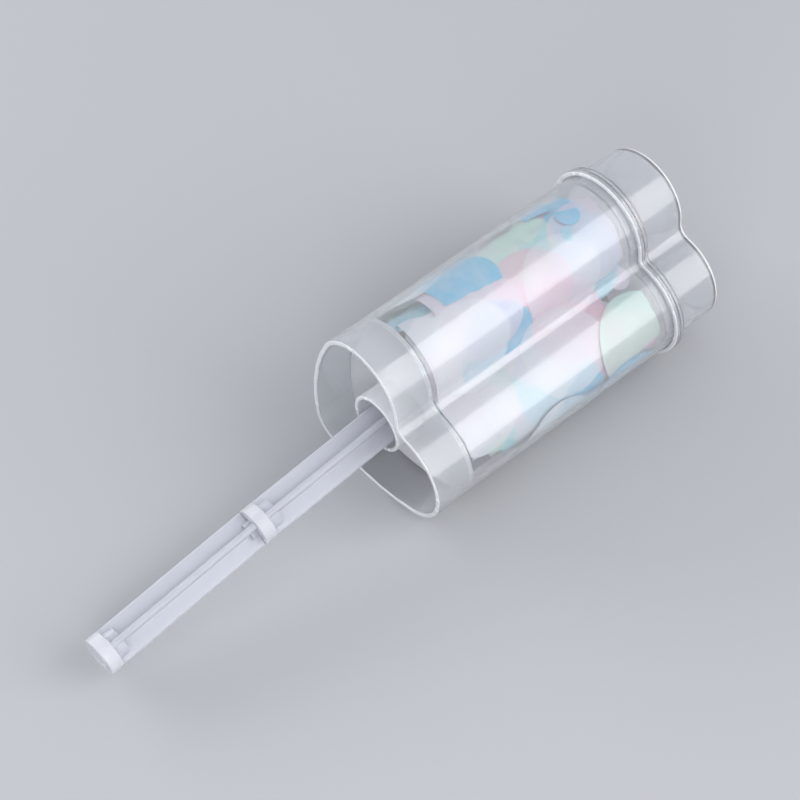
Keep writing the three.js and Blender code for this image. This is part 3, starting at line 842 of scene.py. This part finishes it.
class PUSHPOP_OT_pusher(bpy.types.Operator):
    """Make the pusher: heart plate, collar, blind hub and gate nub in one moulding"""

    bl_idname = "push_pop.pusher"
    bl_label = "Pusher"

    def execute(self, context):
        settings = context.scene.push_pop
        pusher = settings.pusher
        at = Layout(settings)
        near = pusher.inset
        in_plate = near + pusher.thickness / 2
        edge = pusher.edge_round
        root = edge * 2
        plate = heart_shell("heart_pusher", at.outline, [
            *rounded(near, at.plate_edge, edge, 180, 90, 3),
            *rounded(at.plate_far, at.plate_edge, edge, 90, 0, 3),
        ])
        mouth = near - pusher.collar_height
        outside = pusher.collar_diameter / 2
        inside = outside - pusher.collar_wall
        lip = pusher.collar_wall * LIP_SHARE
        collar = turned("collar", [
            *rounded(mouth, outside, lip, 180, 90, 4),
            (near - edge, outside),
            (near + edge, outside + root),
            (in_plate, outside + root),
        ])
        hollow_floor = near + edge / 10
        hollow = turned("hollow", [
            (mouth - lip, inside + lip),
            *rounded(mouth, inside, lip, 180, 270, 4),
            (hollow_floor, inside),
        ])
        hub = turned("hub", [
            (in_plate, at.hub_radius + root),
            (at.plate_far - edge, at.hub_radius + root),
            (at.plate_far + edge, at.hub_radius),
            *rounded(at.hub_end, at.hub_radius, lip, 90, 0, 4),
        ])
        # The bore starts well before the plate, inside the hollow collar
        bore = turned("bore", [(near * 0.75, at.hub_bore), (at.hub_bottom, at.hub_bore)])
        nub_round = pusher.nub_height / 2
        nub_foot = pusher.nub_diameter * 0.55
        nub = turned("nub", [
            *rounded(near - pusher.nub_height, pusher.nub_diameter / 4 + nub_round, nub_round, 180, 90, 4),
            (in_plate, nub_foot),
        ], segments=32)
        point = at.outline.tip_centre.y - settings.heart.tip_radius - at.plate_edge
        nub.data.transform(Matrix.Translation((0, 0, point + pusher.nub_from_tip)))
        joined(plate, ("UNION", collar), ("DIFFERENCE", hollow), ("UNION", hub), ("DIFFERENCE", bore),
               ("UNION", nub))
        # The lip finish on the collar's mouth and the plate's rim is a painted highlight
        whiter = [(0.0, mouth + lip * JUST_OVER), (near + edge, at.plate_far - edge)]
        piece = moulded(plate, settings, at.place, "milky", "lip", whiter)
        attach(piece, "pusher")
        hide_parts("pusher")
        return {"FINISHED"}


def fin_cross(stick):
    """Corners of a cut through the four fins, as (y, z): rounded edges and filleted roots."""
    half = stick.fin_thickness / 2
    reach = stick.diameter / 2
    fin = rounded(reach, -half, half, -90, 0) + rounded(reach, half, half, 0, 90)[1:]
    root = rounded(half, half, stick.fin_root_round, 270, 180, 4)
    turns = [Matrix.Rotation(math.radians(90 * quarter), 2) for quarter in range(4)]
    return [turn @ Vector(corner) for turn in turns for corner in fin + root]


def half_stick(name, settings):
    """One half along -x from its shoulder at x = 0: fins, spigot, and an end disc with a socket in it."""
    stick = settings.stick
    edge = stick.disc_round
    end = -stick.half_length
    in_disc = end + stick.disc_thickness / 2
    fins = shape_through(name, [[(x, *corner) for corner in fin_cross(stick)] for x in (in_disc, 0.0)])
    radius = stick.disc_diameter / 2
    disc_end = end + stick.disc_thickness
    disc = turned("disc", [*rounded(end, radius, edge, 180, 90), *rounded(disc_end, radius, edge, 90, 0)])
    spigot_radius = stick.spigot_diameter / 2
    socket_radius = spigot_radius + stick.socket_gap
    socket_depth = stick.spigot_length + stick.socket_end_gap
    boss_radius = socket_radius + stick.boss_wall
    boss_end = end + socket_depth + stick.boss_wall
    boss = turned("boss", [(in_disc, boss_radius), *rounded(boss_end, boss_radius, edge, 90, 0)])
    spigot = turned("spigot", [
        (-stick.fin_thickness, spigot_radius),
        *rounded(stick.spigot_length, spigot_radius, edge, 90, 0),
    ])
    socket = turned("socket", [
        (end - edge, socket_radius + edge / 2),
        *rounded(end, socket_radius, edge / 2, 180, 270, 3),
        (end + socket_depth, socket_radius),
    ])
    return joined(fins, ("UNION", disc), ("UNION", boss), ("UNION", spigot), ("DIFFERENCE", socket))


class PUSHPOP_OT_stick(bpy.types.Operator):
    """Make the two like halves of the push stick"""

    bl_idname = "push_pop.stick"
    bl_label = "Push Stick"

    def execute(self, context):
        settings = context.scene.push_pop
        stick = settings.stick
        at = Layout(settings)
        hang = (Matrix.Translation((at.rock_centre, 0, 0)) @ Matrix.Rotation(-at.turn, 4, "X")
                @ Matrix.Rotation(-stick.droop, 4, "Y") @ Matrix.Rotation(stick.sway, 4, "Z"))
        fins = Matrix.Rotation(at.turn + stick.clocking, 4, "X")
        halves = (("half_in_pusher", "stick_inner_half"), ("half_in_hand", "stick_outer_half"))
        for i, (name, node) in enumerate(halves):
            back = at.shoulder - at.rock_centre - i * (stick.half_length + stick.socket_gap)
            askew = Matrix.Rotation(i * stick.spigot_tilt, 4, "Z")
            place = at.place @ (hang @ Matrix.Translation((back, 0, 0)) @ askew @ fins)
            # The disc finish on the end disc is a painted highlight
            whiter = [(-FAR_OFF, stick.disc_thickness - stick.half_length)]
            piece = moulded(half_stick(name, settings), settings, place, "frosted", "disc", whiter)
            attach(piece, "stick")
            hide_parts(node)
        return {"FINISHED"}


# Tissue


def girth_of(points):
    """Length of a closed line."""
    return sum((b - a).length for a, b in zip(points, points[1:] + points[:1]))


def outline_curve(points):
    """A closed curve through the points, for a geometry tree to lay discs on."""
    curve = bpy.data.curves.new("outline", "CURVE")
    curve.dimensions = "3D"
    spline = curve.splines.new("POLY")
    spline.points.add(len(points) - 1)
    for corner, point in zip(spline.points, points):
        corner.co = (*point, 1.0)
    spline.use_cyclic_u = True
    return linked("outline", curve)


@dataclass
class Disc:
    """One tissue disc: its place along the barrel and round the outline, its dye, its folds and its lean.

    A fold is the direction of the part that is turned over, in degrees from the barrel's axis, and the
    crease's distance from the centre as a share of the radius. The depth counts from the outermost discs."""

    x: float
    round_share: float
    dye: int
    folds: tuple = ()
    size: float = 1.0
    lean: tuple = (0.0, 0.0)
    depth: float = 0.0


def disc_host(name, discs, girth, radius):
    """Points for the wall tissue tree: one for each disc, with what the tree reads from it."""
    mesh = bpy.data.meshes.new(name)
    mesh.from_pydata([(disc.x, disc.round_share * girth, disc.depth) for disc in discs], [], [])
    rows = []
    for i, disc in enumerate(discs):
        (turn_1, crease_1), (turn_2, crease_2) = (*disc.folds, NO_FOLD, NO_FOLD)[:2]
        rows.append((float(i), disc.size, math.radians(turn_1), crease_1 * radius,
                     math.radians(turn_2), crease_2 * radius, *disc.lean))
    for field, values in zip(DISC_FIELDS, zip(*rows)):
        mesh.attributes.new(field, "FLOAT", "POINT").data.foreach_set("value", values)
    return linked(name, mesh)


def round_gap(a, b):
    """Distance round the outline between two shares of it."""
    return (a - b + 0.5) % 1.0 - 0.5


def stack(discs, girth, diameter, layer):
    """Gives each disc its depth: the list runs from the front, and a disc lies behind those it overlaps."""
    levels = []
    for disc in discs:
        level = 0
        for other, other_level in zip(discs, levels):
            apart = math.hypot(disc.x - other.x, round_gap(disc.round_share, other.round_share) * girth)
            if apart < diameter * OVERLAP:
                level = max(level, other_level + 1)
        levels.append(level)
        disc.depth = layer * level ** PACKING


def read_field(mesh, name):
    """One of the mesh's float attributes as an array."""
    values = numpy.zeros(len(mesh.vertices), numpy.float32)
    mesh.attributes[name].data.foreach_get("value", values)
    return values


def paint(mesh, colours):
    """Stores a colour for each vertex, and drops the numbers that were only needed to make the mesh."""
    for name in [item.name for item in mesh.attributes if item.data_type == "FLOAT"]:
        mesh.attributes.remove(mesh.attributes[name])
    layer = mesh.attributes.new("dye", "FLOAT_COLOR", "POINT")
    layer.data.foreach_set("color", numpy.column_stack([colours, numpy.ones(len(colours))]).ravel())


def dye_and_shade_discs(mesh, discs, palette, girth, radius, shade):
    """Colours a mesh from front to back: thin tissue shows the dyes of the discs behind it, and painted
    shade.
    """
    which = numpy.rint(read_field(mesh, "number")).astype(int)
    flat_x, flat_s = read_field(mesh, "flat_x"), read_field(mesh, "flat_s")
    own_depth = numpy.array([disc.depth for disc in discs])[which]
    mixed = numpy.zeros((len(which), 3))
    left = numpy.ones(len(which))
    for i, disc in sorted(enumerate(discs), key=lambda entry: entry[1].depth):
        *dye, opacity = palette[disc.dye]
        across = round_gap(flat_s / girth, disc.round_share) * girth
        from_centre = numpy.hypot(flat_x - disc.x, across)
        cover = numpy.clip((radius * disc.size - from_centre) / EDGE_BLUR, 0.0, 1.0)
        for turn, crease in disc.folds:
            way = math.radians(turn)
            from_crease = crease * radius - (flat_x - disc.x) * math.cos(way) - across * math.sin(way)
            cover *= numpy.clip(from_crease / CREASE_BLUR, 0.0, 1.0)
        cover *= disc.depth > own_depth
        cover[which == i] = 1.0
        mixed += (left * cover * opacity)[:, None] * numpy.array(dye)
        left *= 1 - cover * opacity
    # Where no disc lies behind, the painted shade of the dark inside shows; shade darkens all as painted
    # shadow
    paint(mesh, (mixed + left[:, None] * numpy.array(INSIDE_SHADE)) * shade)


def palette_of(finish):
    """The tissue dyes in the order of their numbers; the fourth number is how opaque the tissue is."""
    return [tuple(getattr(finish, dye)) for dye in DYES]


# Discs on the side that is seen, from the front of the stack to its back: metres along the barrel, share of
# the way round from the cleft, dye, and folds
SEEN_DISCS = (
    (0.0133, 0.083, VEIL, ((180, 0.0),)),
    (0.0705, 0.160, SKY, ((65, 0.12),), 0.26),
    (0.0665, 0.216, SKY, ((250, 0.2),), 0.34),
    (0.0675, 0.130, ICE, ((320, 0.05),), 0.2),
    (0.0590, 0.064, VEIL),
    (0.0330, 0.168, SKY, ((180, 0.5), (262, 0.3))),
    (0.0272, 0.060, WHITE),
    (0.0715, 0.883, MINT, ((0, 0.6), (280, 0.35))),
    (0.0510, 0.944, WHITE),
    (0.0335, 0.099, BLUSH),
    (0.0345, 0.030, SKY, ((270, 0.35),)),
    (0.0500, 0.076, PINK),
    (0.0350, 0.925, VEIL),
    (0.0265, 0.176, BLUSH, ((0, -0.05), (180, 0.25))),
    (0.0720, 0.100, BLUSH, ((0, 0.6),)),
    (0.0540, 0.814, SKY, ((15, 0.5),)),
    (0.0206, 0.953, WHITE, ((180, 0.6),)),
    (0.0460, 0.990, BLUSH),
    (0.0630, 0.192, MINT, ((275, 0.15), (15, 0.2))),
    (0.0700, 0.222, BLUSH, ((215, 0.25), (330, 0.1))),
    (0.0530, 0.180, MINT),
    (0.0560, 0.994, PINK),
    (0.0195, 0.917, BLUSH, ((180, 0.5), (270, 0.4))),
    (0.0685, 0.858, PINK, ((0, 0.85),)),
    (0.0590, 0.915, VEIL),
    (0.0440, 0.905, ICE),
    (0.0765, 0.995, BLUSH, (), 0.25),
    (0.0700, 0.068, ICE, ((0, 0.7),)),
    (0.0400, 0.868, BLUSH),
    (0.0181, 0.020, BLUSH, ((180, 0.4),)),
    (0.0400, 0.232, BLUSH, ((200, 0.6),)),
    (0.0570, 0.246, PINK),
    (0.0660, 0.170, SKY, ((0, 0.8),)),
    (0.0260, 0.285, MINT, ((180, 0.9),)),
    (0.0360, 0.828, ICE),
    (0.0280, 0.925, MINT),
    (0.0204, 0.075, WHITE, ((180, 0.58),)),
    (0.0450, 0.130, WHITE),
    (0.0570, 0.930, PINK),
    (0.0450, 0.030, WHITE),
    (0.0700, 0.815, WHITE, ((0, 0.6),)),
    (0.0206, 0.800, WHITE, ((180, 0.6), (90, 0.4))),
)
# Crumpled pieces that show in the gaps: the same, then size and lean
GAP_DISCS = (
    (0.0185, 0.178, ICE, ((80, 0.05), (200, 0.2)), 0.36, (0.10, 0.12)),
    (0.0200, 0.190, WHITE, ((300, 0.0), (30, 0.05)), 0.48, (-0.14, 0.06)),
    (0.0190, 0.202, SKY, ((120, 0.0), (20, 0.12)), 0.42, (0.18, -0.12)),
    (0.0220, 0.184, SKY, ((250, 0.05), (160, 0.2)), 0.40, (-0.10, 0.20)),
    (0.0195, 0.213, MINT, ((60, 0.1), (180, 0.3)), 0.46, (0.10, -0.10)),
    (0.0245, 0.192, ICE, ((0, 0.3),), 0.85, (0.02, 0.02)),
    (0.0660, 0.150, SKY, ((60, 0.1), (340, 0.3)), 0.9, (0.10, 0.12)),
    (0.0665, 0.190, ICE, ((220, 0.1), (120, 0.2)), 0.9, (0.06, -0.14)),
    (0.0640, 0.980, MINT, ((80, 0.0), (10, 0.1)), 0.9, (0.12, 0.0)),
    (0.0225, 0.870, VEIL, ((100, 0.1), (200, 0.3)), 0.6, (0.12, 0.1)),
    (0.0190, 0.850, BLUSH, ((250, 0.0), (60, 0.2)), 0.4, (0.12, -0.1)),
)


def back_discs(tissue, start, end, chance):
    """Discs on the side that the photograph doesn't show, in rows with some disorder."""
    discs = []
    for row in range(tissue.back_rows):
        for column in range(tissue.back_columns):
            x = start + (end - start) * row / (tissue.back_rows - 1)
            round_share = BACK_START + BACK_SHARE * (column + 0.5 * (row % 2)) / (tissue.back_columns - 0.5)
            fold = (chance.uniform(0, 360), chance.choice(BACK_CREASES))
            x = min(max(x + chance.uniform(-ALONG_SCATTER, ALONG_SCATTER), start), end)
            round_share += chance.uniform(-ROUND_SCATTER, ROUND_SCATTER)
            discs.append(Disc(x, round_share, chance.randrange(len(DYES)), (fold,)))
    chance.shuffle(discs)
    return discs


def under_discs(tissue, start, end, chance):
    """The pieces in the gaps, and a layer of crumpled discs behind all others."""
    discs = [Disc(*entry, depth=GAP_DEPTH) for entry in GAP_DISCS]
    for i in range(tissue.under_count):
        x = start + (end - start) * ((i * GOLDEN_SHARE) % 1.0)
        fold = (chance.uniform(0, 360), chance.uniform(*UNDER_CREASES))
        # Any dye but the thin veil, which is the last one
        dye = chance.randrange(VEIL)
        lean = tuple(chance.uniform(-most, most) for most in UNDER_LEAN)
        depth = UNDER_DEPTH + UNDER_LAYER * (i % 3)
        discs.append(Disc(x, (i + 0.5) / tissue.under_count, dye, (fold,), UNDER_SIZE, lean, depth))
    return discs


def finished_tissue(piece, at):
    """Finishes a piece of tissue, attaches it to the barrel and gives it a mesh of its own."""
    finished(piece, at.place, tissue_paper(), sharp_degrees=60)
    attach(piece, "barrel")
    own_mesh(piece)


def lay_tissue(name, settings, at, tree, discs, rumple, crinkle, shade=1.0):
    """Lays discs on the wall and dyes them; shade darkens a layer in the others' shadow."""
    tissue, barrel = settings.tissue, settings.barrel
    line = HeartOutline(settings.heart, fineness=2.0).ring(0.0, at.inner_line)
    girth = girth_of(line)
    curve = outline_curve(line)
    piece = disc_host(name, discs, girth, tissue.diameter / 2)
    run_modifier(piece, "NODES", {
        "Outline": curve, "Girth": girth,
        "Disc Diameter": tissue.diameter, "Disc Thickness": tissue.thickness,
        "Rumple": rumple, "Crinkle": crinkle,
        "Folds": WALL_FOLDS, "Fold Height": tissue.layer * FOLD_HEIGHT,
        "Least Depth": tissue.least_gap - tissue.wall_gap, "Draft": barrel.draft / barrel.length,
        "Tissue": tissue_paper(),
    }, node_group=tree)
    bpy.data.curves.remove(curve.data)
    dye_and_shade_discs(piece.data, discs, palette_of(settings.finish), girth, tissue.diameter / 2, shade)
    finished_tissue(piece, at)
    return piece


class PUSHPOP_OT_wall_tissue(bpy.types.Operator):
    """Lay the tissue discs that lean on the barrel wall, and the layer behind them"""

    bl_idname = "push_pop.wall_tissue"
    bl_label = "Wall Tissue"

    def execute(self, context):
        settings = context.scene.push_pop
        tissue = settings.tissue
        at = Layout(settings)
        chance = random.Random(7)
        tree = wall_tissue_tree()
        radius = tissue.diameter / 2
        start = at.plate_far + tissue.end_gap + radius
        end = at.plug_end - tissue.end_gap - radius
        discs = back_discs(tissue, start, end, chance) + [Disc(*entry) for entry in SEEN_DISCS]
        stack(discs, girth_of(at.outline.ring(0.0, at.inner_line)), tissue.diameter, tissue.layer)
        piece = lay_tissue("wall_tissue", settings, at, tree, discs, tissue.rumple, tissue.crinkle)
        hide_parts(*[name for name in frame["nodes"] if name.startswith("tissue_wall_")])
        under = under_discs(tissue, start, end, chance)
        behind = lay_tissue("under_tissue", settings, at, tree, under, tissue.rumple * UNDER_RUMPLE,
                            tissue.crinkle * UNDER_CRINKLE, UNDER_SHADE)
        return {"FINISHED"}


class PUSHPOP_OT_loose_tissue(bpy.types.Operator):
    """Make the crumpled tissue discs in the middle of the fill"""

    bl_idname = "push_pop.loose_tissue"
    bl_label = "Loose Tissue"

    def execute(self, context):
        settings = context.scene.push_pop
        tissue = settings.tissue
        at = Layout(settings)
        start = at.hub_end + LEAN_ROOM
        end = at.plug_end - tissue.end_gap - LEAN_ROOM
        piece = linked("loose_tissue", bpy.data.meshes.new("loose_tissue"))
        run_modifier(piece, "NODES", {
            "Disc Diameter": tissue.diameter * LOOSE_SIZE, "Disc Thickness": tissue.thickness,
            "Count": tissue.loose_count, "From": start, "Pitch": (end - start) / (tissue.loose_count - 1),
            "Lean": LOOSE_LEAN, "Height": -tissue.below_axis,
            "Crumple": LOOSE_CRUMPLE, "Folds": LOOSE_FOLDS, "Tissue": tissue_paper(),
        }, node_group=loose_tissue_tree())
        palette = numpy.array(palette_of(settings.finish))[:, :3]
        which = numpy.rint(read_field(piece.data, "disc")).astype(int)
        # Five dyes on from each disc to the next, so that neighbours differ; the shade factor darkens them as
        # painted shadow
        paint(piece.data, palette[(which * 5 + 1) % len(palette)] * LOOSE_SHADE)
        finished_tissue(piece, at)
        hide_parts(*[name for name in frame["nodes"] if name.startswith("tissue_core_")])
        return {"FINISHED"}


# Stage


def soft_light(name, place, target, size, power):
    """A soft box at place, turned to target."""
    light = bpy.data.lights.new(name, "AREA")
    light.shape = "RECTANGLE"
    light.size, light.size_y = size
    light.energy = power
    lamp = linked(name, light)
    lamp.location = place
    lamp.rotation_euler = (Vector(target) - Vector(place)).to_track_quat("-Z", "Y").to_euler()


class PUSHPOP_OT_stage(bpy.types.Operator):
    """Set up the pale floor, the soft light and the camera"""

    bl_idname = "push_pop.stage"
    bl_label = "Stage"

    def execute(self, context):
        scene = context.scene
        settings = scene.push_pop.stage
        far = settings.floor_size / 2
        corners = ((-far, -far), (far, -far), (far, far), (-far, far))
        mesh = bpy.data.meshes.new("floor")
        mesh.from_pydata([(x, y, -FLOOR_DROP) for x, y in corners], [], [(0, 1, 2, 3)])
        material, maker, shader, place = new_finish("Pale floor")
        cloud = maker.noise(place, scale=5.0, detail=3.0)
        tone = maker.mixed(cloud, settings.floor_colour, shaded(settings.floor_colour, 1.03))
        maker.fill(shader, {"Base Color": tone, "Roughness": 0.7})
        mesh.materials.append(material)
        linked("floor", mesh)

        world = bpy.data.worlds.new("Soft room")
        world.use_nodes = True
        sky = world.node_tree.nodes["Background"]
        sky.inputs["Color"].default_value = (0.86, 0.9, 0.96, 1.0)
        sky.inputs["Strength"].default_value = 0.8
        scene.world = world
        scene.view_settings.view_transform = "Standard"
        soft_light("Front box", (0.5, -0.80, 0.62), (0.02, 0, 0.02), (0.9, 1.1), 9.8)
        soft_light("Back box", (-0.3, 0.85, 0.35), (0.02, 0, 0.02), (0.9, 0.3), 5.0)
        soft_light("Mouth box", (-0.45, -0.35, 0.35), (-0.03, 0, 0.025), (0.3, 0.3), 1.25)

        # Lens, shift and view as fitted to the photograph
        camera = bpy.data.cameras.new("Camera")
        camera.lens = settings.lens
        camera.sensor_width = 36.0
        camera.shift_x = -0.021325
        camera.shift_y = -0.015838
        camera.clip_start = 0.01
        view = Matrix((
            (0.746158, 0.510213, -0.427705),
            (-0.665768, 0.572769, -0.478213),
            (0.000985, 0.641575, 0.767060),
        )).to_4x4()
        view.translation = (-0.222864, -0.257751, 0.441773)
        scene.camera = linked("Camera", camera)
        scene.camera.matrix_world = view
        return {"FINISHED"}


STEPS = (
    PUSHPOP_OT_stage,
    PUSHPOP_OT_barrel,
    PUSHPOP_OT_cap,
    PUSHPOP_OT_pusher,
    PUSHPOP_OT_stick,
    PUSHPOP_OT_wall_tissue,
    PUSHPOP_OT_loose_tissue,
)


class PUSHPOP_PT_panel(bpy.types.Panel):
    """Lists the push pop's pieces"""

    bl_idname = "PUSHPOP_PT_panel"
    bl_label = "Confetti Push Pop"
    bl_space_type = "VIEW_3D"
    bl_region_type = "UI"
    bl_category = "Push Pop"

    def draw(self, context):
        for step in STEPS:
            self.layout.operator(step.bl_idname)


CLASSES = (
    HeartSettings, BarrelSettings, CapSettings, PusherSettings, StickSettings, TissueSettings, FinishSettings,
    StageSettings, PushPopSettings, *STEPS, PUSHPOP_PT_panel,
)


def register():
    for kind in CLASSES:
        bpy.utils.register_class(kind)
    bpy.types.Scene.push_pop = group(PushPopSettings)


def unregister():
    del bpy.types.Scene.push_pop
    for kind in reversed(CLASSES):
        bpy.utils.unregister_class(kind)


def main():
    register()
    bpy.ops.push_pop.stage()
    bpy.ops.push_pop.barrel()
    bpy.ops.push_pop.cap()
    bpy.ops.push_pop.pusher()
    bpy.ops.push_pop.stick()
    bpy.ops.push_pop.wall_tissue()
    bpy.ops.push_pop.loose_tissue()


if __name__ == "__main__":
    main()
